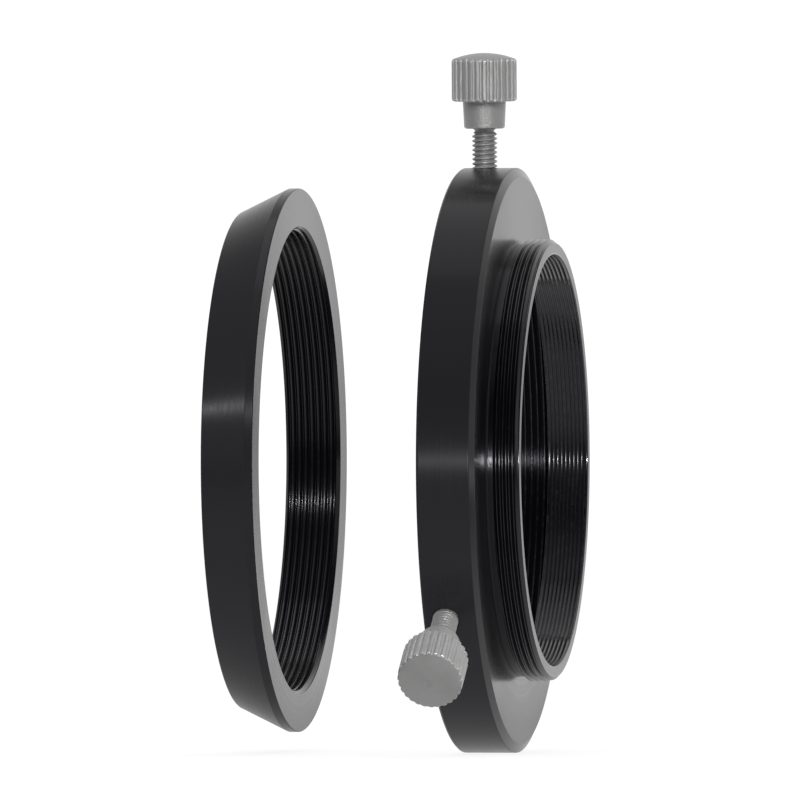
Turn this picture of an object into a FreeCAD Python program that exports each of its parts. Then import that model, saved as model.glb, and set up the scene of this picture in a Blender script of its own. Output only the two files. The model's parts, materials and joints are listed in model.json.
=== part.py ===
import FreeCAD, Part
import math
import os

import Sketcher
from FreeCAD import Placement, Rotation, Vector

# Rotation adapter for telescopes: a clamp body with an M68 tube, a bevel ring with an M72 thread,
# and two thumb screws with soft tips that press on the bevel.
# X is the optical axis, +X points out of the M68 tube, +Z is up.
# The origin is the centre of the clamp body's front face.

DIMENSIONS = {
    # clamp body
    "clamp_outer_d": 90.0,
    "clamp_depth": 8.85,
    "clamp_web": 1.1,
    "clamp_socket_d": 83.96,
    "clamp_front_chamfer_axial": 0.7,
    "clamp_front_chamfer_radial": 1.4,
    "clamp_rear_chamfer": 0.35,
    "socket_entry_chamfer": 0.4,
    "socket_relief_depth": 0.3,
    "socket_relief_length": 0.8,
    # M68 x 1 tube
    "tube_length": 5.2,
    "tube_bore_d": 63.3,
    "tube_rim_chamfer": 0.2,
    "tube_thread_d": 68.0,
    "tube_thread_depth": 0.6134,
    "tube_thread_crest": 0.125,
    "tube_thread_chamfer": 0.45,
    "tube_relief_length": 1.1,
    "tube_relief_d": 66.5,
    "lens_thread_pitch": 1.0,
    # light-trap lines turned in the bore and in the socket
    "bore_line_pitch": 0.63,
    "bore_line_width": 0.59,
    "bore_line_depth": 0.16,
    "bore_line_first": 0.55,
    "bore_line_count": 9,
    "socket_line_pitch": 1.0,
    "socket_line_width": 0.86,
    "socket_line_depth": 0.4,
    "socket_line_first": 1.0,
    "socket_line_count": 6,
    # bevel ring with M72 x 1 thread
    "ring_land_d": 83.8,
    "ring_rear_d": 76.8,
    "ring_depth": 8.6,
    "ring_land_width": 1.3,
    "ring_edge_chamfer": 0.15,
    "ring_bore_d": 70.92,
    "ring_thread_depth": 0.57,
    "ring_thread_crest": 0.25,
    "ring_entry_chamfer": 0.55,
    "ring_offset": 34.6,
    # thumb screw, M4 x 0.7
    "screw_from_rear": 3.45,
    "screw_first_turn": 2.5,
    "screw_pitch": 0.7,
    "screw_thread_d": 3.92,
    "screw_root_d": 3.0,
    "screw_crest": 0.09,
    "screw_thread_out": 5.5,
    "screw_thread_in": 1.9,
    "screw_end_chamfer": 0.35,
    "screw_neck_length": 0.6,
    "screw_neck_flare": 0.3,
    "screw_collar_base_d": 6.25,
    "screw_collar_d": 6.65,
    "screw_collar_length": 4.2,
    "screw_collar_chamfer": 0.2,
    "screw_head_d": 10.0,
    "screw_head_length": 6.5,
    "screw_head_chamfer": 0.25,
    "screw_crown_d": 9.5,
    "screw_crown_rise": 0.9,
    "screw_mark_r": 0.5,
    "screw_mark_depth": 0.15,
    "flute_count": 28,
    "flute_r": 0.3,
    "flute_centre_r": 5.0,
    # tapped holes that take the screws
    "tap_bore_d": 3.4,
    "tap_major_d": 4.2,
    "tap_crest": 0.172,
    # soft tip of each screw
    "tip_d": 2.6,
    "tip_length": 0.43,
    "tip_dome_rise": 0.48,
    "tip_stem_d": 1.5,
    "tip_stem_length": 2.0,
    "tip_play": 0.05,
}

# turn of each thumb screw about the optical axis, counted from the first one
SCREW_TURNS = {"top": 0.0, "front": 120.0}
OUTPUT_FOLDER = "parts"

doc = FreeCAD.newDocument("rotation_adapter")
sheet = doc.addObject("Spreadsheet::Sheet", "dims")
for row, (alias, value) in enumerate(DIMENSIONS.items(), start=1):
    sheet.set(f"A{row}", alias)
    sheet.set(f"B{row}", str(value))
    sheet.setAlias(f"B{row}", alias)
doc.recompute()


def origin_feature(body, role):
    return next(f for f in body.Origin.OriginFeatures if f.Role == role)


def add_sketch(body, name, plane):
    sketch = body.newObject("Sketcher::SketchObject", name)
    sketch.AttachmentSupport = [(origin_feature(body, plane), "")]
    sketch.MapMode = "FlatFace"
    return sketch


def place_point(sketch, side, end, at, across, up):
    """Hold one end of a side at two coordinates, each given as an expression."""
    constraint = sketch.addConstraint(Sketcher.Constraint("DistanceX", -1, 1, side, end, at.x))
    sketch.setExpression(f"Constraints[{constraint}]", across)
    constraint = sketch.addConstraint(Sketcher.Constraint("DistanceY", -1, 1, side, end, at.y))
    sketch.setExpression(f"Constraints[{constraint}]", up)


def outline(body, name, plane, points):
    """Closed outline with straight sides through points, each a pair of expressions.

    The sides start as a rough regular polygon, and the expressions bring every corner to its place.
    """
    sketch = add_sketch(body, name, plane)
    count = len(points)
    start = [
        Vector(math.cos(2 * math.pi * i / count), math.sin(2 * math.pi * i / count), 0) * 10
        for i in range(count)
    ]
    for i in range(count):
        sketch.addGeometry(Part.LineSegment(start[i], start[(i + 1) % count]), False)
    for i in range(count):
        sketch.addConstraint(Sketcher.Constraint("Coincident", i, 2, (i + 1) % count, 1))
    for i, (across, up) in enumerate(points):
        place_point(sketch, i, 1, start[i], across, up)
    doc.recompute()
    return sketch


def thread_outline(body, name, plane, along, crest_r, root_r, crest, pitch, centre):
    """Groove of a 60 degree thread. crest_r is the land's radius and root_r the groove's floor.

    along is "X" when the screw axis is the sketch's horizontal axis, otherwise "Y".
    """
    past = f"({crest_r} - ({root_r})) / abs({crest_r} - ({root_r})) * 0.05"
    wide = f"({pitch} - {crest}) / 2 + 0.05 * tan(30 deg)"
    narrow = f"({pitch} - {crest}) / 2 - abs({crest_r} - ({root_r})) * tan(30 deg)"
    corners = [
        (f"{centre} - ({wide})", f"{crest_r} + {past}"),
        (f"{centre} + {wide}", f"{crest_r} + {past}"),
        (f"{centre} + {narrow}", root_r),
        (f"{centre} - ({narrow})", root_r),
    ]
    if along == "Y":
        corners = [(radius, height) for height, radius in corners]
    return outline(body, name, plane, corners)


def finish_feature(body, feature, sketch=None):
    if sketch is not None:
        sketch.Visibility = False
    body.Tip = feature
    doc.recompute()
    return feature


def revolve(body, name, sketch, axis, cut=False):
    feature = body.newObject("PartDesign::Groove" if cut else "PartDesign::Revolution", name)
    feature.Profile = sketch
    feature.ReferenceAxis = (sketch, [axis])
    feature.Angle = 360.0
    return finish_feature(body, feature, sketch)


def repeat_along(body, feature, sketch, count, pitch):
    pattern = body.newObject("PartDesign::LinearPattern", f"{feature.Name}_row")
    pattern.Originals = [feature]
    pattern.Direction = (sketch, ["H_Axis"])
    pattern.setExpression("Length", f"({count} - 1) * {pitch}")
    pattern.setExpression("Occurrences", count)
    return finish_feature(body, pattern)


def repeat_around(body, name, features, role, count, angle=360.0):
    """Copies over an angle: the last one sits at its end, or all are evenly spaced on a full turn."""
    pattern = body.newObject("PartDesign::PolarPattern", name)
    pattern.Originals = features
    pattern.Axis = (origin_feature(body, role), [""])
    pattern.Angle = angle
    if isinstance(count, str):
        pattern.setExpression("Occurrences", count)
    else:
        pattern.Occurrences = count
    return finish_feature(body, pattern)


def helical_cut(body, name, sketch, axis, pitch, height):
    cut = body.newObject("PartDesign::SubtractiveHelix", name)
    cut.Profile = sketch
    cut.ReferenceAxis = (sketch, [axis])
    cut.Mode = 0
    cut.setExpression("Pitch", pitch)
    cut.setExpression("Height", height)
    cut.LeftHanded = False
    cut.Reversed = False
    return finish_feature(body, cut, sketch)


def drill_up(body, name, across, radius, length):
    """Round hole or flute cut towards +Z from the base plane."""
    sketch = add_sketch(body, f"{name}_outline", "XY_Plane")
    sketch.addGeometry(Part.Circle(Vector(5, 0, 0), Vector(0, 0, 1), 1), False)
    sketch.addConstraint(Sketcher.Constraint("PointOnObject", 0, 3, -1))
    centre = sketch.addConstraint(Sketcher.Constraint("DistanceX", -1, 1, 0, 3, 5.0))
    size = sketch.addConstraint(Sketcher.Constraint("Radius", 0, 1.0))
    sketch.setExpression(f"Constraints[{centre}]", across)
    sketch.setExpression(f"Constraints[{size}]", radius)
    doc.recompute()
    pocket = body.newObject("PartDesign::Pocket", name)
    pocket.Profile = sketch
    pocket.Reversed = True
    pocket.setExpression("Length", length)
    return finish_feature(body, pocket, sketch)


def turn_about_axis(body, turn):
    """Turn a body about the optical axis, with the first thumb screw a little off the top."""
    now = turn + sheet.get("screw_first_turn")
    body.Placement = Placement(Vector(0, 0, 0), Rotation(Vector(1, 0, 0), now))
    body.setExpression("Placement.Rotation.Angle", f"({turn} + dims.screw_first_turn) * 1 deg")
    doc.recompute()


def add_dome(body, name, radius, base, rise, side):
    """Shallow spherical cap on the Z axis. side is 1 for a cap on top and -1 for one underneath."""
    sketch = add_sketch(body, f"{name}_outline", "XZ_Plane")
    radius_now = sheet.get(radius) / 2
    rise_now = sheet.get(rise)
    sphere = (radius_now**2 + rise_now**2) / (2 * rise_now)
    half = math.asin(radius_now / sphere)
    rim = Vector(radius_now, 0, 0)
    pole = Vector(0, side * rise_now, 0)
    middle = Vector(
        sphere * math.sin(half / 2), side * (sphere * math.cos(half / 2) - sphere + rise_now), 0
    )
    sketch.addGeometry(Part.LineSegment(Vector(0, 0, 0), rim), False)
    sketch.addGeometry(Part.Arc(rim, middle, pole), False)
    sketch.addGeometry(Part.LineSegment(pole, Vector(0, 0, 0)), False)
    rim_end, pole_end = (1, 2) if side > 0 else (2, 1)
    sketch.addConstraint(Sketcher.Constraint("Coincident", 0, 2, 1, rim_end))
    sketch.addConstraint(Sketcher.Constraint("Coincident", 1, pole_end, 2, 1))
    sketch.addConstraint(Sketcher.Constraint("Coincident", 2, 2, 0, 1))
    sketch.addConstraint(Sketcher.Constraint("PointOnObject", 1, 3, -2))
    place_point(sketch, 0, 1, Vector(0, 0, 0), "0", base)
    place_point(sketch, 0, 2, rim, f"dims.{radius} / 2", base)
    place_point(sketch, 2, 1, pole, "0", f"{base} + {side} * dims.{rise}")
    doc.recompute()
    return revolve(body, name, sketch, "V_Axis")


def make_clamp_body():
    body = doc.addObject("PartDesign::Body", "clamp_body")
    outer = "dims.clamp_outer_d / 2"
    rear = "-dims.clamp_depth"
    web = "-dims.clamp_web"
    bore = "dims.tube_bore_d / 2"
    thread = "dims.tube_thread_d / 2"
    relief = "dims.tube_relief_d / 2"
    socket = "dims.clamp_socket_d / 2"
    undercut = f"{socket} + dims.socket_relief_depth"
    tube = "dims.tube_length"
    turning = outline(
        body,
        "clamp_outline",
        "XY_Plane",
        [
            (web, bore),
            (f"{tube} - dims.tube_rim_chamfer", bore),
            (tube, f"{bore} + dims.tube_rim_chamfer"),
            (tube, f"{thread} - dims.tube_thread_chamfer"),
            (f"{tube} - dims.tube_thread_chamfer", thread),
            ("dims.tube_relief_length + 0.3", thread),
            ("dims.tube_relief_length", relief),
            ("0", relief),
            ("0", f"{outer} - dims.clamp_front_chamfer_radial"),
            ("-dims.clamp_front_chamfer_axial", outer),
            (f"{rear} + dims.clamp_rear_chamfer", outer),
            (rear, f"{outer} - dims.clamp_rear_chamfer"),
            (rear, f"{socket} + dims.socket_entry_chamfer"),
            (f"{rear} + dims.socket_entry_chamfer", socket),
            (f"{web} - dims.socket_relief_length", socket),
            (f"{web} - dims.socket_relief_length", undercut),
            (web, undercut),
        ],
    )
    revolve(body, "clamp_turning", turning, "H_Axis")

    for place, wall, first in (
        ("bore", bore, f"{web} + dims.bore_line_first"),
        ("socket", socket, f"{rear} + dims.socket_line_first"),
    ):
        line = outline(
            body,
            f"{place}_line_outline",
            "XY_Plane",
            [
                (f"{first} - dims.{place}_line_width / 2", f"{wall} - 0.02"),
                (f"{first} + dims.{place}_line_width / 2", f"{wall} - 0.02"),
                (first, f"{wall} + dims.{place}_line_depth"),
            ],
        )
        cut = revolve(body, f"{place}_line", line, "H_Axis", cut=True)
        repeat_along(body, cut, line, f"dims.{place}_line_count", f"dims.{place}_line_pitch")

    tube_groove = thread_outline(
        body, "tube_thread_outline", "XY_Plane", "X", thread, f"{thread} - dims.tube_thread_depth",
        "dims.tube_thread_crest", "dims.lens_thread_pitch", "dims.tube_relief_length * 0.45",
    )
    helical_cut(
        body, "tube_thread", tube_groove, "H_Axis", "dims.lens_thread_pitch",
        "dims.tube_length + dims.lens_thread_pitch",
    )

    hole_x = "-dims.clamp_depth + dims.screw_from_rear"
    hole = drill_up(
        body, "tap_hole", hole_x, "dims.tap_bore_d / 2", "dims.clamp_outer_d / 2 + 1"
    )
    tap_groove = thread_outline(
        body, "tap_outline", "XZ_Plane", "Y", "dims.tap_bore_d / 2", "dims.tap_major_d / 2",
        "dims.tap_crest", "dims.screw_pitch", f"{outer} - 5.5 * dims.screw_pitch",
    )
    tap_groove.setExpression("AttachmentOffset.Base.x", hole_x)
    doc.recompute()
    tap = helical_cut(
        body, "tap_thread", tap_groove, "V_Axis", "dims.screw_pitch", "7 * dims.screw_pitch"
    )
    repeat_around(
        body, "tapped_holes", [hole, tap], "X_Axis", len(SCREW_TURNS), SCREW_TURNS["front"]
    )
    turn_about_axis(body, 0.0)
    return body


def make_bevel_ring():
    body = doc.addObject("PartDesign::Body", "bevel_ring")
    bore = "dims.ring_bore_d / 2"
    entry = f"{bore} + dims.ring_entry_chamfer"
    land = "dims.ring_land_d / 2"
    rear_r = "dims.ring_rear_d / 2"
    edge = "dims.ring_edge_chamfer"
    depth = "dims.ring_depth"
    turning = outline(
        body,
        "ring_outline",
        "XY_Plane",
        [
            ("-dims.ring_entry_chamfer", bore),
            ("0", entry),
            ("0", f"{land} - {edge}"),
            (f"-{edge}", land),
            ("-dims.ring_land_width", land),
            (f"-{depth} + {edge}", rear_r),
            (f"-{depth}", f"{rear_r} - {edge}"),
            (f"-{depth}", entry),
            (f"-{depth} + dims.ring_entry_chamfer", bore),
        ],
    )
    revolve(body, "ring_turning", turning, "H_Axis")
    groove = thread_outline(
        body, "ring_thread_outline", "XY_Plane", "X", bore, f"{bore} + dims.ring_thread_depth",
        "dims.ring_thread_crest", "dims.lens_thread_pitch", f"-{depth} - dims.lens_thread_pitch",
    )
    helical_cut(
        body, "ring_thread", groove, "H_Axis", "dims.lens_thread_pitch",
        f"{depth} + 2 * dims.lens_thread_pitch",
    )
    body.setExpression("Placement.Base.x", "-dims.ring_offset")
    doc.recompute()
    return body


def place_at_screw(body, turn):
    """Put a body's origin on the clamp's outer surface, with its Z axis pointing outwards."""
    turn_about_axis(body, turn)
    angle = f"({turn} + dims.screw_first_turn) * 1 deg"
    body.setExpression("Placement.Base.x", "-dims.clamp_depth + dims.screw_from_rear")
    body.setExpression("Placement.Base.y", f"-sin({angle}) * dims.clamp_outer_d / 2")
    body.setExpression("Placement.Base.z", f"cos({angle}) * dims.clamp_outer_d / 2")
    doc.recompute()


def make_thumb_screw(name, turn):
    body = doc.addObject("PartDesign::Body", f"thumbscrew_{name}")
    stem_bore = "dims.tip_stem_d / 2 + dims.tip_play"
    bore_top = "-dims.screw_thread_in + dims.tip_stem_length + 2 * dims.tip_play"
    end = "-dims.screw_thread_in"
    thread = "dims.screw_thread_d / 2"
    root = "dims.screw_root_d / 2"
    out = "dims.screw_thread_out"
    collar_z = f"{out} + dims.screw_neck_length"
    head_z = f"{collar_z} + dims.screw_collar_length"
    top_z = f"{head_z} + dims.screw_head_length"
    flare = "dims.screw_neck_flare"
    collar = "dims.screw_collar_base_d / 2"
    collar_edge = "dims.screw_collar_chamfer"
    head = "dims.screw_head_d / 2"
    head_edge = "dims.screw_head_chamfer"
    turning = outline(
        body,
        f"{name}_screw_outline",
        "XZ_Plane",
        [
            ("0", bore_top),
            (stem_bore, bore_top),
            (stem_bore, end),
            (f"{thread} - dims.screw_end_chamfer", end),
            (thread, f"{end} + dims.screw_end_chamfer"),
            (thread, f"{out} - 0.2"),
            (root, f"{out} + 0.1"),
            (root, f"{collar_z} - {flare}"),
            (f"{root} + {flare}", collar_z),
            (f"{collar} - {collar_edge}", collar_z),
            (collar, f"{collar_z} + {collar_edge}"),
            ("dims.screw_collar_d / 2", head_z),
            (f"{head} - {head_edge}", head_z),
            (head, f"{head_z} + {head_edge}"),
            (head, f"{top_z} - {head_edge}"),
            (f"{head} - {head_edge}", top_z),
            ("0", top_z),
        ],
    )
    revolve(body, f"{name}_screw_turning", turning, "V_Axis")
    add_dome(body, f"{name}_crown", "screw_crown_d", top_z, "screw_crown_rise", 1)
    crown_z = f"{top_z} + dims.screw_crown_rise"
    mark = outline(
        body,
        f"{name}_mark_outline",
        "XZ_Plane",
        [
            ("0", f"{crown_z} - dims.screw_mark_depth"),
            ("dims.screw_mark_r", f"{crown_z} + 0.02"),
            ("0", f"{crown_z} + 0.02"),
        ],
    )
    revolve(body, f"{name}_centre_mark", mark, "V_Axis", cut=True)
    flute = drill_up(
        body, f"{name}_flute", "dims.flute_centre_r", "dims.flute_r", f"{crown_z} + 1"
    )
    repeat_around(body, f"{name}_flutes", [flute], "Z_Axis", "dims.flute_count")
    groove = thread_outline(
        body, f"{name}_thread_outline", "XZ_Plane", "Y", thread, root,
        "dims.screw_crest", "dims.screw_pitch", "-4 * dims.screw_pitch",
    )
    helical_cut(
        body, f"{name}_thread", groove, "V_Axis", "dims.screw_pitch", "12 * dims.screw_pitch"
    )
    place_at_screw(body, turn)
    return body


def make_screw_tip(name, turn):
    body = doc.addObject("PartDesign::Body", f"screw_tip_{name}")
    shoulder = "-dims.screw_thread_in - dims.tip_play"
    face = f"{shoulder} - dims.tip_length"
    turning = outline(
        body,
        f"{name}_tip_outline",
        "XZ_Plane",
        [
            ("0", face),
            ("dims.tip_d / 2", face),
            ("dims.tip_d / 2", shoulder),
            ("dims.tip_stem_d / 2", shoulder),
            ("dims.tip_stem_d / 2", f"{shoulder} + dims.tip_stem_length"),
            ("0", f"{shoulder} + dims.tip_stem_length"),
        ],
    )
    revolve(body, f"{name}_tip_turning", turning, "V_Axis")
    add_dome(body, f"{name}_tip_dome", "tip_d", face, "tip_dome_rise", -1)
    place_at_screw(body, turn)
    return body


bodies = [make_clamp_body(), make_bevel_ring()]
for screw_name, screw_turn in SCREW_TURNS.items():
    bodies.append(make_thumb_screw(screw_name, screw_turn))
    bodies.append(make_screw_tip(screw_name, screw_turn))
doc.recompute()

for item in doc.Objects:
    faults = [state for state in item.State if "Invalid" in state or "Error" in state]
    if faults:
        raise RuntimeError(f"{item.Name} is {faults}: {item.getStatusString()}")
for body in bodies:
    if body.Shape.isNull() or not body.Shape.isValid():
        raise RuntimeError(f"{body.Label} has no valid shape")
    if len(body.Shape.Solids) != 1:
        raise RuntimeError(f"{body.Label} has {len(body.Shape.Solids)} solids")

os.makedirs(OUTPUT_FOLDER, exist_ok=True)
for body in bodies:
    body.Shape.exportStep(os.path.join(OUTPUT_FOLDER, f"{body.Label}.step"))
    box = body.Shape.BoundBox
    print(
        f"{body.Label}: {body.Shape.Volume:.1f} mm3, {len(body.Shape.Faces)} faces, "
        f"x {box.XMin:.2f}..{box.XMax:.2f}, y {box.YMin:.2f}..{box.YMax:.2f}, "
        f"z {box.ZMin:.2f}..{box.ZMax:.2f}"
    )
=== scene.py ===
import json
import math

import bmesh
import bpy
import numpy as np
from mathutils import Matrix, Vector


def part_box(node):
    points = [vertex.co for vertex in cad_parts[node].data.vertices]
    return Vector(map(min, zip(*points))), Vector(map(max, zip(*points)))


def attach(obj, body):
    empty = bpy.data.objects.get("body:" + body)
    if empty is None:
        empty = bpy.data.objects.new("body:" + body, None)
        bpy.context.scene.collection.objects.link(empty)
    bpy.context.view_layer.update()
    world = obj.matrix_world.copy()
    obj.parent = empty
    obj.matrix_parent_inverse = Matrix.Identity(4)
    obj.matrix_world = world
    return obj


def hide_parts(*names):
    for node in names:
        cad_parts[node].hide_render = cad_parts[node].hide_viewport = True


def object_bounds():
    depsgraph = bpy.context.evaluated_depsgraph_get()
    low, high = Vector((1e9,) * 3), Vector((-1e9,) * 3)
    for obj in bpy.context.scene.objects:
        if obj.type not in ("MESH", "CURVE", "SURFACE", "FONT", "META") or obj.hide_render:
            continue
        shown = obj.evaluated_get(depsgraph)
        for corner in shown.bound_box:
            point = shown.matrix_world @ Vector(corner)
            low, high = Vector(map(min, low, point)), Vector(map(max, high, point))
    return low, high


# Telescope rotation adapter: a clamp body with a threaded tube, a bevel ring with an inner
# thread, and two thumb screws with soft tips. The optical axis is X and +Z is up.
# Outlines are in millimetres, and a mesh is turned into metres when it is made.

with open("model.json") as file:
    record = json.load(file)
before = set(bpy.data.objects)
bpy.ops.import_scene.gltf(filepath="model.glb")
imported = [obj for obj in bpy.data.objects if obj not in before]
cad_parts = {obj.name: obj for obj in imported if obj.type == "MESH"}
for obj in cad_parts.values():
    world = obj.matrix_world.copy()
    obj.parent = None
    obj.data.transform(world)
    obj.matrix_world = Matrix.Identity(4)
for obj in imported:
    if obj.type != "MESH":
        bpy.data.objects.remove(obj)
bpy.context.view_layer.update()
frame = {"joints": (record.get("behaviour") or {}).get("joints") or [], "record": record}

MM = 0.001
JOINTS = {joint["name"]: joint for joint in frame["joints"]}
MOUNTS = {mount["name"]: mount for mount in frame["record"]["mounts"]}
SCREWS = [name.split("_")[1] for name in JOINTS if name.startswith("screw_")]

# divisions of the meshes, how much of an edge a corner may take, and how far wear reaches
RING_COLUMNS = 320
HOLE_COLUMNS = 72
TIP_COLUMNS = 64
ARC_STEPS = 3
THREAD_STEPS = 9
CORNER_SHARE = 0.45
WEAR_ROOM = 2.2
WORN_SHARE = 0.2
CROWN_STEPS = 10
DOME_STEPS = 8
WEAR_REACH = 0.12
SHARP_ANGLE = 36.0
WELD_DISTANCE = 1e-7

# clamp body: places along the axis come from the frame
CLAMP_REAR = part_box("clamp_body")[0].x / MM
TUBE_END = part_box("clamp_body")[1].x / MM
CLAMP_R = 45.0
CLAMP_REAR_CHAMFER = 0.35
FRONT_CHAMFER_LENGTH = 0.7
FRONT_CHAMFER_DEPTH = 1.4
SOCKET_R = 41.98
SOCKET_ENTRY = 0.4
UNDERCUT_DEPTH = 0.3
UNDERCUT_LENGTH = 0.8
WEB_BACK = -1.1
BORE_R = MOUNTS["clear_bore"]["dims"]["r_mm"]
TUBE_R = MOUNTS["tube_thread"]["dims"]["r_mm"]
TUBE_CHAMFER = 0.62
RELIEF_R = 33.25
RELIEF_END = 1.1
RELIEF_RAMP = 0.3
MOUTH_EDGE = 0.2

# light-trap lines: place of the first or last, pitch, width, depth and number
BORE_LINE_FIRST = 0.55
BORE_LINE_PITCH = 0.63
BORE_LINE_WIDTH = 0.5
BORE_LINE_DEPTH = 0.18
BORE_LINE_COUNT = 9
SOCKET_LINE_LAST = 6.0
SOCKET_LINE_PITCH = 1.0
SOCKET_LINE_WIDTH = 0.86
SOCKET_LINE_DEPTH = 0.4
SOCKET_LINE_COUNT = 6

# bevel ring
RING_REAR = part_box("bevel_ring")[0].x / MM
RING_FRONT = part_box("bevel_ring")[1].x / MM
RING_R = 41.9
RING_REAR_R = 38.4
RING_LAND = 1.3
RING_CHAMFER = 0.15
RING_BORE_R = MOUNTS["ring_thread"]["dims"]["r_mm"]
RING_ENTRY = 0.6

# threads: pitch, width of the crest, depth, rounding of the corners
LENS_PITCH = 1.0
SCREW_PITCH = 0.7
TUBE_CREST = 0.125
TUBE_THREAD_DEPTH = 0.6134
RING_CREST = 0.25
RING_THREAD_DEPTH = 0.57
LENS_THREAD_FILLET = 0.05
SCREW_CREST = 0.09
SCREW_THREAD_FILLET = 0.04

# thumb screw, along its own axis from the clamp's outer surface
SCREW_R = 1.96
SCREW_ROOT_R = 1.5
SCREW_INNER_END = -1.9
SCREW_THREAD_END = 5.5
SCREW_POINT = 0.5
COLLAR_BASE = 6.1
COLLAR_BASE_R = 3.125
COLLAR_TOP_R = 3.325
COLLAR_CHAMFER = 0.2
NECK_RAMP = 0.3
HEAD_BASE = 10.3
HEAD_TOP = 16.8
HEAD_R = 5.0
HEAD_CHAMFER = 0.25
RIB_COUNT = 28
FLUTE_R = 0.3
FLUTE_EDGE = 0.03
CROWN_R = 4.75
CROWN_RISE = 0.9
MARK_R = 0.5
MARK_DEPTH = 0.15
HOLE_R = 2.06
HOLE_DEPTH = 3.9
COUNTERSINK = 0.26

# soft tip
TIP_GAP = 0.05
TIP_LENGTH = 0.43
TIP_R = 1.3
TIP_RISE = 0.48
STEM_R = 0.75
STEM_LENGTH = 2.0


# ---------------------------------------------------------------- outlines

def arc_corner(before, here, after, fillet):
    """Points of one corner turned into a curve, with an unworn point close by on each side."""
    to_before = Vector(before) - Vector(here)
    to_after = Vector(after) - Vector(here)
    half = to_before.angle(to_after) / 2
    room = CORNER_SHARE * min(to_before.length, to_after.length)
    cut = min(fillet / math.tan(half), room)
    corner = Vector(here)
    start = corner + to_before.normalized() * cut
    end = corner + to_after.normalized() * cut
    points = []
    if to_before.length > WEAR_ROOM * (cut + WEAR_REACH):
        points.append((*(corner + to_before.normalized() * (cut + WEAR_REACH)), 0.0))
    for step in range(ARC_STEPS + 1):
        share = step / ARC_STEPS
        bent = start * (1 - share) ** 2 + corner * 2 * share * (1 - share) + end * share**2
        points.append((*bent, 1.0))
    if to_after.length > WEAR_ROOM * (cut + WEAR_REACH):
        points.append((*(corner + to_after.normalized() * (cut + WEAR_REACH)), 0.0))
    return points


def rounded(corners):
    """Outline (along, radius, wear) from corners (along, radius, fillet). Its ends stay sharp.

    A sharp corner, with no fillet, may have its own wear as a fourth number.
    """
    places = [corner[:2] for corner in corners]
    points = []
    for i, (along, radius, fillet, *sharp_wear) in enumerate(corners):
        if i in (0, len(corners) - 1) or fillet == 0:
            points.append((along, radius, sharp_wear[0] if sharp_wear else 0.0))
        else:
            points += arc_corner(places[i - 1], places[i], places[i + 1], fillet)
    return points


def turned_lines(first, pitch, width, depth, count, wall):
    """Corners of V-shaped light-trap lines cut in a wall, from the first one backwards."""
    corners = []
    for i in range(count):
        centre = first - i * pitch
        corners.append((centre + width / 2, wall, 0.0, 1.0))
        corners.append((centre, wall + depth, 0.0, 0.0))
        corners.append((centre - width / 2, wall, 0.0, 1.0))
    return corners


def thread_profile(pitch, crest, depth, fillet):
    """One pitch of a 60 degree thread as (along, depth below the crest, wear)."""
    flank = depth * math.tan(math.radians(30))
    chain = [
        (-crest / 2 - flank, depth, 0),
        (-crest / 2, 0.0, fillet),
        (crest / 2, 0.0, fillet),
        (crest / 2 + flank, depth, fillet),
        (pitch - crest / 2 - flank, depth, fillet),
        (pitch - crest / 2, 0.0, 0),
    ]
    points = rounded(chain)[1:-1]
    longest = pitch / THREAD_STEPS
    fine = []
    for here, after in zip(points, points[1:] + [(points[0][0] + pitch, 0.0, 1.0)]):
        steps = max(1, math.ceil((after[0] - here[0]) / longest))
        for step in range(steps):
            share = step / steps
            fine.append(tuple(a * (1 - share) + b * share for a, b in zip(here, after)))
    low = fine[0][0]
    worn = [1.0 if point[1] < WORN_SHARE * depth else 0.0 for point in fine]
    return [(point[0] - low, point[1], wear) for point, wear in zip(fine, worn)]


# ---------------------------------------------------------------- rows of a turned mesh

def ring_rows(outline, angles, limit=None):
    """Rows (along, radius, wear) around the axis, one for each outline point, and a climb of 0.

    limit is the largest radius at each angle.
    """
    rows = np.repeat(np.array(outline)[:, None, :], len(angles), axis=1)
    if limit is not None:
        rows[:, :, 1] = np.minimum(rows[:, :, 1], limit[None, :])
    return rows, 0


def thread_rows(profile, pitch, start, end, crest_r, outside, envelope, angles):
    """Rows that climb a right-hand thread. All rows stop at the two ends.

    envelope is a list of (along, radius) that the thread stays inside, or outside for a bore.
    The second value says how many rows the thread climbs in one turn.
    """
    turns = math.ceil((end - start) / pitch) + 2
    per_turn = len(profile)
    phase, depth, wear = np.array(profile).T
    climb = start - pitch + pitch * np.arange(turns)[:, None] + phase[None, :]
    along = climb.reshape(-1, 1) + pitch * angles[None, :] / (2 * math.pi)
    inside = (along > start) & (along < end)
    along = np.clip(along, start, end)
    depth = np.tile(depth, turns)[:, None]
    bound = np.interp(along, [p[0] for p in envelope], [p[1] for p in envelope])
    if outside:
        radius = np.minimum(crest_r - depth, bound)
    else:
        radius = np.maximum(crest_r + depth, bound)
    radius = np.where(inside, radius, bound)
    worn = np.where(radius == bound, 0.0, np.tile(wear, turns)[:, None])
    return np.stack([along, radius, worn], axis=2), per_turn


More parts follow.
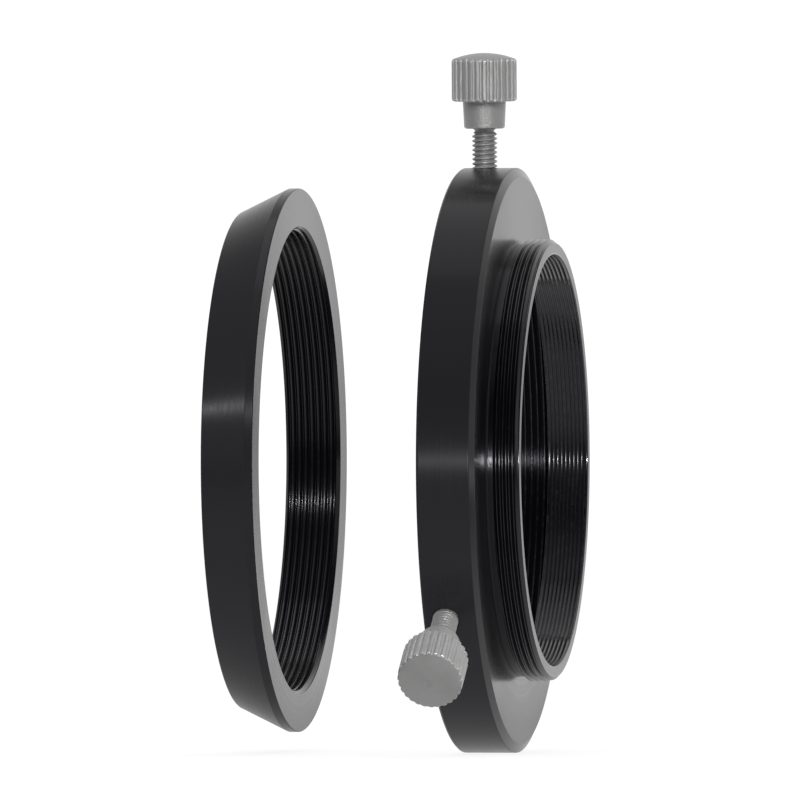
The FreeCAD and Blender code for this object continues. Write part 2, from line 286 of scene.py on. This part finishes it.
def skin(name, sections, angles, axis, closed):
    """Watertight mesh object over sections of rows.

    Each section is its rows and how many of them a thread climbs in one turn, 0 for plain rings.
    A closed skin joins its last row to its first.
    """
    columns = len(angles)
    following = np.roll(np.arange(columns), -1)
    quads, firsts, lasts, offset = [], [], [], 0
    for rows, climb in sections:
        last = len(rows) - 1
        for row in range(last):
            low = offset + row * columns + np.arange(columns)
            high = low + columns
            low_next, high_next = low[following], high[following]
            low_next[-1] = offset + min(row + climb, last) * columns
            high_next[-1] = offset + min(row + 1 + climb, last) * columns
            quads.append(np.stack([low, low_next, high_next, high], axis=1))
        firsts.append(offset + np.arange(columns))
        lasts.append(offset + last * columns + np.arange(columns))
        offset += len(rows) * columns
    joins = list(zip(lasts[:-1], firsts[1:])) + ([(lasts[-1], firsts[0])] if closed else [])
    for low, high in joins:
        quads.append(np.stack([low, low[following], high[following], high], axis=1))

    points = np.concatenate([rows.reshape(-1, 3) for rows, _ in sections])
    turn = np.tile(angles, len(points) // columns)
    along, across, up = points[:, 0], points[:, 1] * np.cos(turn), points[:, 1] * np.sin(turn)
    places = [along, across, up] if axis == "X" else [across, up, along]
    mesh = bpy.data.meshes.new(name)
    mesh.from_pydata((np.stack(places, axis=1) * MM).tolist(), [], np.concatenate(quads).tolist())
    mesh.attributes.new("wear", "FLOAT", "POINT").data.foreach_set("value", points[:, 2])
    weld(mesh)
    piece = bpy.data.objects.new(name, mesh)
    bpy.context.scene.collection.objects.link(piece)
    return piece


def weld(mesh):
    """Merge points that meet, drop faces with no area, and turn all faces outwards."""
    work = bmesh.new()
    work.from_mesh(mesh)
    bmesh.ops.remove_doubles(work, verts=work.verts, dist=WELD_DISTANCE)
    bmesh.ops.dissolve_degenerate(work, edges=work.edges, dist=WELD_DISTANCE)
    bmesh.ops.recalc_face_normals(work, faces=work.faces)
    work.to_mesh(mesh)
    work.free()


def smooth(piece):
    piece.data.polygons.foreach_set("use_smooth", [True] * len(piece.data.polygons))
    piece.data.set_sharp_from_angle(angle=math.radians(SHARP_ANGLE))


def even_angles(columns):
    return np.arange(columns) * 2 * math.pi / columns


# ---------------------------------------------------------------- places of the thumb screws

def screw_place(name):
    """Matrix that puts a screw's own axis on its hole, with its origin on the clamp's surface."""
    joint = JOINTS[f"screw_{name}_turn"]
    outward = -Vector(joint["axis"])
    along = Vector((1, 0, 0))
    turn = Matrix((along, outward.cross(along), outward)).transposed().to_4x4()
    return Matrix.Translation(joint["pos_m"]) @ turn


# ---------------------------------------------------------------- the pieces

def make_clamp():
    angles = even_angles(RING_COLUMNS)
    tube = thread_rows(
        thread_profile(LENS_PITCH, TUBE_CREST, TUBE_THREAD_DEPTH, LENS_THREAD_FILLET), LENS_PITCH,
        RELIEF_END - 0.1, TUBE_END, TUBE_R, True,
        [(RELIEF_END, RELIEF_R), (RELIEF_END + RELIEF_RAMP, TUBE_R),
         (TUBE_END - TUBE_CHAMFER, TUBE_R), (TUBE_END, TUBE_R - TUBE_CHAMFER)],
        angles,
    )
    bore_lines = turned_lines(
        WEB_BACK + BORE_LINE_FIRST + (BORE_LINE_COUNT - 1) * BORE_LINE_PITCH,
        BORE_LINE_PITCH, BORE_LINE_WIDTH, BORE_LINE_DEPTH, BORE_LINE_COUNT, BORE_R,
    )
    socket_lines = turned_lines(
        CLAMP_REAR + SOCKET_LINE_LAST,
        SOCKET_LINE_PITCH, SOCKET_LINE_WIDTH, SOCKET_LINE_DEPTH, SOCKET_LINE_COUNT, SOCKET_R,
    )
    undercut_r = SOCKET_R + UNDERCUT_DEPTH
    undercut_rear = WEB_BACK - UNDERCUT_LENGTH
    corners = [
        (TUBE_END, TUBE_R - TUBE_CHAMFER - 0.04, 0.06),
        (TUBE_END, BORE_R, MOUTH_EDGE),
        *bore_lines,
        (WEB_BACK, BORE_R, 0.08),
        (WEB_BACK, undercut_r, 0.05),
        (undercut_rear, undercut_r, 0.05),
        (undercut_rear, SOCKET_R, 0.05),
        *socket_lines,
        (CLAMP_REAR + SOCKET_ENTRY, SOCKET_R, 0.06),
        (CLAMP_REAR, SOCKET_R + SOCKET_ENTRY, 0.08),
        (CLAMP_REAR, CLAMP_R - CLAMP_REAR_CHAMFER, 0.1),
        (CLAMP_REAR + CLAMP_REAR_CHAMFER, CLAMP_R, 0.1),
        (-FRONT_CHAMFER_LENGTH, CLAMP_R, 0.14),
        (0.0, CLAMP_R - FRONT_CHAMFER_DEPTH, 0.14),
        (0.0, RELIEF_R, 0.06),
    ]
    outline = rounded(corners)
    piece = skin("clamp_ring", [tube, ring_rows(outline, angles)], angles, "X", closed=True)
    drill(piece)
    smooth(piece)
    return piece


def drill(piece):
    """Cut the screw holes, each with a small countersink, through the clamp's wall."""
    wide_r = HOLE_R + COUNTERSINK
    outline = [
        (-HOLE_DEPTH, 0.0, 0), (-HOLE_DEPTH, HOLE_R, 0), (0.1 - COUNTERSINK, HOLE_R, 0),
        (0.1, wide_r, 0), (1.0, wide_r, 0), (1.0, 0.0, 0),
    ]
    angles = even_angles(HOLE_COLUMNS)
    cutters = []
    for name in SCREWS:
        cutter = skin(f"cutter_{name}", [ring_rows(outline, angles)], angles, "Z", closed=False)
        cutter.data.transform(screw_place(name))
        cutters.append(cutter)
    for cutter in cutters:
        hole = piece.modifiers.new("hole", "BOOLEAN")
        hole.operation = "DIFFERENCE"
        hole.solver = "EXACT"
        hole.object = cutter
    graph = bpy.context.evaluated_depsgraph_get()
    drilled = bpy.data.meshes.new_from_object(piece.evaluated_get(graph))
    piece.modifiers.clear()
    piece.data = drilled
    for cutter in cutters:
        bpy.data.objects.remove(cutter)


def make_bevel_ring():
    angles = even_angles(RING_COLUMNS)
    entry_r = RING_BORE_R + RING_ENTRY
    bore = thread_rows(
        thread_profile(LENS_PITCH, RING_CREST, RING_THREAD_DEPTH, LENS_THREAD_FILLET), LENS_PITCH,
        RING_REAR, RING_FRONT, RING_BORE_R, False,
        [(RING_REAR, entry_r), (RING_REAR + RING_ENTRY, RING_BORE_R),
         (RING_FRONT - RING_ENTRY, RING_BORE_R), (RING_FRONT, entry_r)],
        angles,
    )
    corners = [
        (RING_FRONT, entry_r + 0.02, 0.05),
        (RING_FRONT, RING_R - RING_CHAMFER, 0.08),
        (RING_FRONT - RING_CHAMFER, RING_R, 0.08),
        (RING_FRONT - RING_LAND, RING_R, 0.2),
        (RING_REAR + RING_CHAMFER, RING_REAR_R, 0.1),
        (RING_REAR, RING_REAR_R - RING_CHAMFER, 0.1),
        (RING_REAR, entry_r + 0.02, 0.05),
    ]
    outline = rounded(corners)
    piece = skin("bevel_ring_body", [bore, ring_rows(outline, angles)], angles, "X", closed=True)
    smooth(piece)
    return piece


def flute_columns():
    """Angles around the head, and the radius that the flutes leave at each of them."""
    pitch = 2 * math.pi / RIB_COUNT
    half = FLUTE_R / HEAD_R
    inside = [-1.0, -0.86, -0.5, 0.0, 0.5, 0.86, 1.0]
    offsets = [side * half for side in inside] + [half * 1.22, pitch / 2, pitch - half * 1.22]
    angles, radii = [], []
    for rib in range(RIB_COUNT):
        for offset in offsets:
            across = offset * HEAD_R
            depth = math.sqrt(max(0.0, FLUTE_R**2 - across**2)) if offset <= half else 0.0
            edge = FLUTE_EDGE if abs(abs(offset) - half) < 1e-6 else 0.0
            angles.append(rib * pitch + offset)
            radii.append(HEAD_R - max(depth, edge))
    angles = np.array(angles) + half
    return angles, np.array(radii)


def make_thumb_screw(name):
    angles, flutes = flute_columns()
    thread_end = SCREW_THREAD_END + 0.15
    profile = thread_profile(SCREW_PITCH, SCREW_CREST, SCREW_R - SCREW_ROOT_R, SCREW_THREAD_FILLET)
    thread = thread_rows(
        profile, SCREW_PITCH, SCREW_INNER_END, thread_end, SCREW_R, True,
        [(SCREW_INNER_END, SCREW_ROOT_R - 0.05), (SCREW_INNER_END + SCREW_POINT, SCREW_R),
         (SCREW_THREAD_END - 0.3, SCREW_R), (thread_end, SCREW_ROOT_R)],
        angles,
    )
    inner = [(SCREW_INNER_END, 0.0, 0), (SCREW_INNER_END, SCREW_ROOT_R - 0.06, 0)]
    corners = [
        (thread_end + 0.01, SCREW_ROOT_R, 0),
        (COLLAR_BASE - NECK_RAMP, SCREW_ROOT_R, 0.2),
        (COLLAR_BASE, SCREW_ROOT_R + NECK_RAMP, 0.1),
        (COLLAR_BASE, COLLAR_BASE_R - COLLAR_CHAMFER, 0.12),
        (COLLAR_BASE + COLLAR_CHAMFER, COLLAR_BASE_R, 0.12),
        (HEAD_BASE, COLLAR_TOP_R, 0.1),
        (HEAD_BASE, HEAD_R - HEAD_CHAMFER, 0.12),
        (HEAD_BASE + HEAD_CHAMFER, HEAD_R, 0.12),
        (HEAD_TOP - HEAD_CHAMFER, HEAD_R, 0.12),
        (HEAD_TOP, CROWN_R, 0),
    ]
    outer = rounded(corners)
    sections = [
        ring_rows(inner, angles),
        thread,
        ring_rows(outer + crown_outline(), angles, flutes),
    ]
    piece = skin(f"knurled_screw_{name}", sections, angles, "Z", closed=False)
    piece.matrix_world = screw_place(name)
    smooth(piece)
    return piece


def dome_radius(across, rise):
    """Radius of the sphere that rises by rise over a disc with the radius across."""
    return (across**2 + rise**2) / (2 * rise)


def crown_outline():
    """Shallow dome on the head, with a small cone mark in its centre."""
    sphere = dome_radius(CROWN_R, CROWN_RISE)
    base = HEAD_TOP + CROWN_RISE - sphere
    points = []
    for step in range(1, CROWN_STEPS + 1):
        radius = CROWN_R + (MARK_R - CROWN_R) * step / CROWN_STEPS
        points.append((base + math.sqrt(sphere**2 - radius**2), radius, 0.0))
    rim = points[-1][0]
    return points + [(rim - 0.02, MARK_R - 0.04, 0.0), (rim - MARK_DEPTH, 0.0, 0.0)]


def make_soft_tip(name):
    """Short plug at the screw's inner end, with a domed face and a stem inside the screw."""
    angles = even_angles(TIP_COLUMNS)
    shoulder = SCREW_INNER_END - TIP_GAP
    face = shoulder - TIP_LENGTH
    sphere = dome_radius(TIP_R, TIP_RISE)
    centre = face - TIP_RISE + sphere
    dome = []
    for step in range(DOME_STEPS):
        across = TIP_R * step / DOME_STEPS
        dome.append((centre - math.sqrt(sphere**2 - across**2), across, 0.0))
    corners = [
        (face, TIP_R, 0.0),
        (shoulder, TIP_R, 0.08),
        (shoulder, STEM_R, 0.04),
        (shoulder + STEM_LENGTH, STEM_R, 0.1),
        (shoulder + STEM_LENGTH, 0.0, 0.0),
    ]
    outline = dome + rounded(corners)
    piece = skin(f"soft_tip_{name}", [ring_rows(outline, angles)], angles, "Z", closed=False)
    piece.matrix_world = screw_place(name)
    smooth(piece)
    return piece


# ---------------------------------------------------------------- materials

# zones of the black finish, in millimetres, where on the bore the painted reflection on the
# crests starts, as a share of its radius, and how far round to the front it is seen from
MARK_SLANT = 1.7
WALL_FACING = 25.0
SATIN_END = 0.3
BORE_ZONE = 0.3
BORE_ZONE_REAR = -2.0
PAINTED_REFLECTION_START = 0.84
PAINTED_REFLECTION_FULL = 0.89
FRONT_START = 0.02
FRONT_FULL = 0.12


class Shader:
    """Node tree of a material or a world, with short calls that add nodes and join them."""

    def __init__(self, owner):
        owner.use_nodes = True
        self.owner = owner
        self.tree = owner.node_tree
        self.tree.nodes.clear()

    def add(self, kind, inputs=(), **settings):
        node = self.tree.nodes.new(f"ShaderNode{kind}")
        for key, value in settings.items():
            setattr(node, key, value)
        for key, value in dict(inputs).items():
            if isinstance(value, bpy.types.NodeSocket):
                self.tree.links.new(value, node.inputs[key])
            else:
                node.inputs[key].default_value = value
        return node

    def math(self, operation, first, second=0.0):
        return self.add("Math", {0: first, 1: second}, operation=operation).outputs[0]

    def place(self):
        return self.add("TexCoord").outputs["Object"]

    def noise(self, place, scale, detail=2.0):
        inputs = {"Vector": place, "Scale": scale, "Detail": detail}
        return self.add("TexNoise", inputs).outputs["Fac"]

    def line_noise(self, along, scale, detail=2.0):
        inputs = {"W": along, "Scale": scale, "Detail": detail}
        return self.add("TexNoise", inputs, noise_dimensions="1D").outputs["Fac"]

    def spread(self, value, low, high, start=0.25, end=0.75):
        inputs = {"Value": value, "From Min": start, "From Max": end, "To Min": low, "To Max": high}
        return self.add("MapRange", inputs, clamp=True).outputs["Result"]

    def blend(self, factor, first, second):
        node = self.add("Mix", {"Factor": factor}, data_type="RGBA")
        for socket, value in ((node.inputs[6], first), (node.inputs[7], second)):
            if isinstance(value, bpy.types.NodeSocket):
                self.tree.links.new(value, socket)
            else:
                socket.default_value = value
        return node.outputs[2]

    def edge(self):
        return self.add("Attribute", attribute_name="wear").outputs["Fac"]

    def worn(self, place):
        """Share of wear: the worn edges of the mesh, broken up by noise."""
        broken = self.spread(self.noise(place, 900.0, 3.0), 0.25, 1.0)
        return self.product(self.edge(), broken)

    def total(self, *values):
        result = values[0]
        for value in values[1:]:
            result = self.math("ADD", result, value)
        return result

    def product(self, first, second):
        return self.math("MULTIPLY", first, second)

    def finish(self, surface, output="OutputMaterial"):
        self.add(output, {"Surface": surface.outputs[0]})
        return self.owner


def new_shader(name):
    return Shader(bpy.data.materials.new(name))


def black_anodised():
    """Satin black anodised aluminium with turning marks, grey where its edges have worn.

    Three zones differ: the satin outer walls of the two rings, the glossy edge of the tube's
    mouth, and the top and bottom of the bore, which has a painted reflection: its crests are
    painted bright and the grooves between them painted darker, seen only from the front.
    """
    shader = new_shader("black_anodised")
    place = shader.place()
    parts = shader.add("SeparateXYZ", {"Vector": place}).outputs
    flat = shader.add("VectorMath", {0: place, 1: (0.0, 1.0, 1.0)}, operation="MULTIPLY").outputs[0]
    radius = shader.add("VectorMath", {0: flat}, operation="LENGTH").outputs["Value"]
    path = shader.total(parts["X"], shader.product(radius, MARK_SLANT))
    fine_marks = shader.line_noise(path, 7000.0, 3.0)
    wide_marks = shader.line_noise(path, 900.0, 2.0)
    grain = shader.noise(place, 9000.0, 2.0)
    cloud = shader.noise(place, 70.0, 3.0)
    worn = shader.worn(place)

    normal = shader.add("NewGeometry").outputs["Normal"]
    facing = shader.add("VectorMath", {0: normal, 1: flat}, operation="DOT_PRODUCT")
    facing = facing.outputs["Value"]
    outward = shader.math("GREATER_THAN", facing, WALL_FACING * MM)
    inward = shader.math("LESS_THAN", facing, -WALL_FACING * MM)
    behind_tube = shader.math("LESS_THAN", parts["X"], SATIN_END * MM)
    satin = shader.product(behind_tube, outward)
    mouth = shader.product(
        shader.math("GREATER_THAN", parts["X"], (TUBE_END - MOUTH_EDGE) * MM),
        shader.math("LESS_THAN", radius, (BORE_R + MOUTH_EDGE) * MM),
    )
    height_share = shader.math("DIVIDE", shader.math("ABSOLUTE", parts["Z"]), radius)
    in_bore = shader.product(
        shader.math("LESS_THAN", radius, (BORE_R + BORE_ZONE) * MM),
        shader.math("GREATER_THAN", parts["X"], BORE_ZONE_REAR * MM),
    )
    # painted reflection on the top and bottom of the bore, shown only to a view from the front
    painted_reflection = shader.product(inward, shader.spread(height_share, 0.0, 1.0, PAINTED_REFLECTION_START, PAINTED_REFLECTION_FULL))
    painted_reflection = shader.product(painted_reflection, in_bore)
    towards = shader.add("NewGeometry").outputs["Incoming"]
    from_front = shader.add("SeparateXYZ", {"Vector": towards}).outputs["X"]
    painted_reflection = shader.product(painted_reflection, shader.spread(from_front, 0.0, 1.0, FRONT_START, FRONT_FULL))

    tint = shader.blend(
        shader.spread(cloud, 0.0, 1.0), (0.0030, 0.0028, 0.0042, 1), (0.0048, 0.0046, 0.0062, 1)
    )
    colour = shader.blend(satin, tint, (0.024, 0.0235, 0.026, 1))
    # painted shade: the grooves are darker inside the painted reflection
    colour = shader.blend(painted_reflection, colour, (0.002, 0.002, 0.002, 1))
    # grey of worn edges; inside the painted reflection this is a painted highlight on the crests
    wear_and_painted_glint = shader.blend(painted_reflection, (0.026, 0.026, 0.028, 1), (0.32, 0.32, 0.33, 1))
    # crests of the bore lines inside the painted reflection: a painted highlight
    crest = shader.product(shader.edge(), painted_reflection)
    # share of the grey: real edge wear together with the painted highlight on the crests
    shown = shader.spread(shader.math("MAXIMUM", worn, crest), 0.0, 1.0, 0.55, 1.05)
    colour = shader.blend(shown, colour, wear_and_painted_glint)
    colour = shader.blend(mouth, colour, (0.012, 0.012, 0.014, 1))
    rough = shader.total(
        shader.spread(cloud, 0.18, 0.22),
        shader.spread(fine_marks, -0.03, 0.03),
        shader.spread(wide_marks, -0.02, 0.02),
        shader.product(satin, 0.06),
        shader.product(mouth, -0.1),
    )
    gloss = shader.total(
        0.55, shader.product(satin, -0.41), shader.product(painted_reflection, -0.5), shader.product(mouth, 0.45)
    )
    height = shader.total(fine_marks, shader.product(wide_marks, 1.5), shader.product(grain, 0.8))
    bump = shader.add("Bump", {"Height": height, "Strength": 1.0, "Distance": 0.0015 * MM})
    tangent = shader.add("Tangent", direction_type="RADIAL", axis="X")
    surface = shader.add("BsdfPrincipled", {
        "Base Color": colour,
        "Roughness": rough,
        "Specular IOR Level": gloss,
        "Specular Tint": (0.95, 0.93, 1.0, 1.0),
        "Anisotropic": 0.85,
        "Anisotropic Rotation": 0.25,
        "Normal": bump.outputs["Normal"],
        "Tangent": tangent.outputs["Tangent"],
    })
    return shader.finish(surface)


def blasted_steel():
    """Bead-blasted metal of the thumb screws, smoother and brighter on its worn edges."""
    shader = new_shader("screw_metal")
    place = shader.place()
    pits = shader.noise(place, 6500.0, 2.0)
    cloud = shader.noise(place, 260.0, 3.0)
    worn = shader.worn(place)
    tint = shader.blend(
        shader.spread(cloud, 0.0, 1.0), (0.36, 0.36, 0.358, 1), (0.43, 0.43, 0.427, 1)
    )
    colour = shader.blend(worn, tint, (0.58, 0.58, 0.575, 1))
    rough = shader.total(shader.spread(cloud, 0.32, 0.40), shader.product(worn, -0.1))
    bump = shader.add("Bump", {"Height": pits, "Strength": 1.0, "Distance": 0.08 * MM})
    surface = shader.add("BsdfPrincipled", {
        "Base Color": colour,
        "Metallic": 0.6,
        "Roughness": rough,
        "Normal": bump.outputs["Normal"],
    })
    return shader.finish(surface)


def matt_nylon():
    """Off-white soft plastic of the screw tips, with a faint moulded grain."""
    shader = new_shader("soft_tip")
    place = shader.place()
    grain = shader.noise(place, 4000.0, 2.0)
    cloud = shader.noise(place, 700.0, 2.0)
    colour = shader.blend(cloud, (0.74, 0.72, 0.66, 1), (0.82, 0.81, 0.76, 1))
    bump = shader.add("Bump", {"Height": grain, "Strength": 1.0, "Distance": 0.006 * MM})
    surface = shader.add("BsdfPrincipled", {
        "Base Color": colour,
        "Roughness": shader.spread(cloud, 0.48, 0.6),
        "Subsurface Weight": 0.15,
        "Subsurface Scale": 0.4 * MM,
        "Normal": bump.outputs["Normal"],
    })
    return shader.finish(surface)


def dress(piece, material, body, node):
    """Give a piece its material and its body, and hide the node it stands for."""
    piece.data.materials.clear()
    piece.data.materials.append(material)
    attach(piece, body)
    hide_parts(node)


# ---------------------------------------------------------------- studio

WHITE = (1.0, 1.0, 1.0, 1.0)
FRONT_LEVEL = 0.045
WORLD_SEEN = 1.05
FLOOR_HALF = 5.0
FLOOR_GLOW = 0.88
CAMERA_YAW = math.radians(9.8)
CAMERA_LENS = 900.0
SENSOR = 36.0
VIEW_WIDTH = 123.077 * MM
AIM_LEFT = 18.7 * MM
AIM_UP = 9.28 * MM

RINGS = ["clamp_ring", "bevel_ring_body"]
TOP_SCREW = "knurled_screw_top"
FRONT_SCREW = "knurled_screw_front"

# lamps: place in metres, side of the square, power in watts, and the objects it lights
LAMPS = {
    "top_softbox": ((0.0, 0.3, 1.6), 1.4, 4.0, [*RINGS, "floor"]),
    "clamp_lamp": ((0.4, -2.0, 0.0), 0.06, 14.0, ["clamp_ring"]),
    "crest_lamp": ((-0.3, -2.0, 0.0), 0.06, 0.9, ["clamp_ring"]),
    "ring_lamp": ((0.3, -1.85, 0.7), 0.05, 15.0, ["bevel_ring_body"]),
    "cone_lamp": ((-1.65, -0.95, 0.59), 0.05, 3.8, ["bevel_ring_body"]),
    "top_screw_light": ((0.3, -1.4, 0.8), 0.7, 22.0, [TOP_SCREW]),
    "top_screw_glint": ((0.35, -2.0, 0.2), 0.1, 2.2, [TOP_SCREW]),
    "front_screw_light": ((0.7, -0.8, 1.3), 0.4, 32.0, [FRONT_SCREW]),
}


def make_camera():
    """Long lens, level, turned a little so that the front faces are just seen."""
    distance = CAMERA_LENS / SENSOR * VIEW_WIDTH
    forward = Vector((-math.sin(CAMERA_YAW), math.cos(CAMERA_YAW), 0.0))
    right = Vector((math.cos(CAMERA_YAW), math.sin(CAMERA_YAW), 0.0))
    camera = bpy.data.objects.new("camera", bpy.data.cameras.new("camera"))
    bpy.context.scene.collection.objects.link(camera)
    camera.data.lens = CAMERA_LENS
    camera.data.sensor_width = SENSOR
    camera.data.clip_start = 0.05
    camera.data.clip_end = 30.0
    aim = Vector((0.0, 0.0, AIM_UP)) - right * AIM_LEFT
    camera.location = aim - forward * distance
    camera.rotation_euler = (math.radians(90), 0.0, CAMERA_YAW)
    bpy.context.scene.camera = camera


def make_lamp(name, place, size, power, lit):
    """Soft square lamp that faces the object and lights only the objects named in lit."""
    light = bpy.data.lights.new(name, "AREA")
    light.size = size
    light.energy = power
    lamp = bpy.data.objects.new(name, light)
    bpy.context.scene.collection.objects.link(lamp)
    lamp.location = place
    lamp.rotation_euler = (-Vector(place)).to_track_quat("-Z", "Y").to_euler()
    receivers = bpy.data.collections.new(f"{name}_lights")
    for lit_name in lit:
        receivers.objects.link(bpy.data.objects[lit_name])
    lamp.light_linking.receiver_collection = receivers


def camera_only(shader, plain, seen):
    """Surface that the camera sees as seen, and every other ray as plain."""
    ray = shader.add("LightPath").outputs["Is Camera Ray"]
    return shader.add("MixShader", {0: ray, 1: plain.outputs[0], 2: seen.outputs[0]})


def make_floor():
    """Wide floor under the lowest point of the object.

    The camera sees it white. Reflections see it bright near the object and behind it.
    """
    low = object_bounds()[0].z
    mesh = bpy.data.meshes.new("floor")
    signs = [(-1, -1), (1, -1), (1, 1), (-1, 1)]
    corners = [(x * FLOOR_HALF, y * FLOOR_HALF, low) for x, y in signs]
    mesh.from_pydata(corners, [], [(0, 1, 2, 3)])
    floor = bpy.data.objects.new("floor", mesh)
    bpy.context.scene.collection.objects.link(floor)
    shader = new_shader("floor_white")
    place = shader.place()
    away = shader.add("VectorMath", {0: place}, operation="LENGTH").outputs["Value"]
    mottle = shader.spread(shader.noise(place, 30.0), 0.0, 0.02)
    near = shader.spread(away, 0.6, 0.1, 0.08, 0.45)
    along = shader.add("SeparateXYZ", {"Vector": place}).outputs["Y"]
    behind = shader.spread(along, 0.0, 1.1, 0.05, 0.6)
    level = shader.total(shader.math("MAXIMUM", near, behind), mottle)
    plain = shader.add("Emission", {"Strength": level})
    white = shader.add("BsdfDiffuse", {"Color": (0.3, 0.3, 0.3, 1.0)})
    glow = shader.add("Emission", {"Color": WHITE, "Strength": FLOOR_GLOW})
    seen = shader.add("AddShader", {0: white.outputs[0], 1: glow.outputs[0]})
    mesh.materials.append(shader.finish(camera_only(shader, plain, seen)))


def make_world():
    """Studio around the object.

    The camera sees it white. Reflections see it bright above, below, behind and far to each side.
    """
    world = bpy.data.worlds.new("studio")
    bpy.context.scene.world = world
    studio = Shader(world)
    direction = studio.add("TexCoord").outputs["Generated"]
    parts = studio.add("SeparateXYZ", {"Vector": direction}).outputs
    behind = studio.spread(parts["Y"], 0.0, 0.8, 0.3, 0.9)
    beside = studio.spread(studio.math("ABSOLUTE", parts["X"]), 0.0, 0.6, 0.75, 0.98)
    above = studio.spread(studio.math("ABSOLUTE", parts["Z"]), 0.0, 0.6, 0.5, 1.0)
    level = studio.math("MAXIMUM", behind, studio.math("MAXIMUM", above, beside))
    level = studio.total(level, FRONT_LEVEL)
    plain = studio.add("Background", {"Color": WHITE, "Strength": level})
    seen = studio.add("Background", {"Color": WHITE, "Strength": WORLD_SEEN})
    studio.finish(camera_only(studio, plain, seen), output="OutputWorld")


anodised = black_anodised()
steel = blasted_steel()
nylon = matt_nylon()
dress(make_clamp(), anodised, "clamp", "clamp_body")
dress(make_bevel_ring(), anodised, "bevel_ring", "bevel_ring")
for screw in SCREWS:
    dress(make_thumb_screw(screw), steel, f"screw_{screw}", f"thumbscrew_{screw}")
    dress(make_soft_tip(screw), nylon, f"tip_{screw}", f"screw_tip_{screw}")

make_floor()
make_world()
for lamp_name, lamp_values in LAMPS.items():
    make_lamp(lamp_name, *lamp_values)
make_camera()
bpy.context.scene.view_settings.view_transform = "Standard"
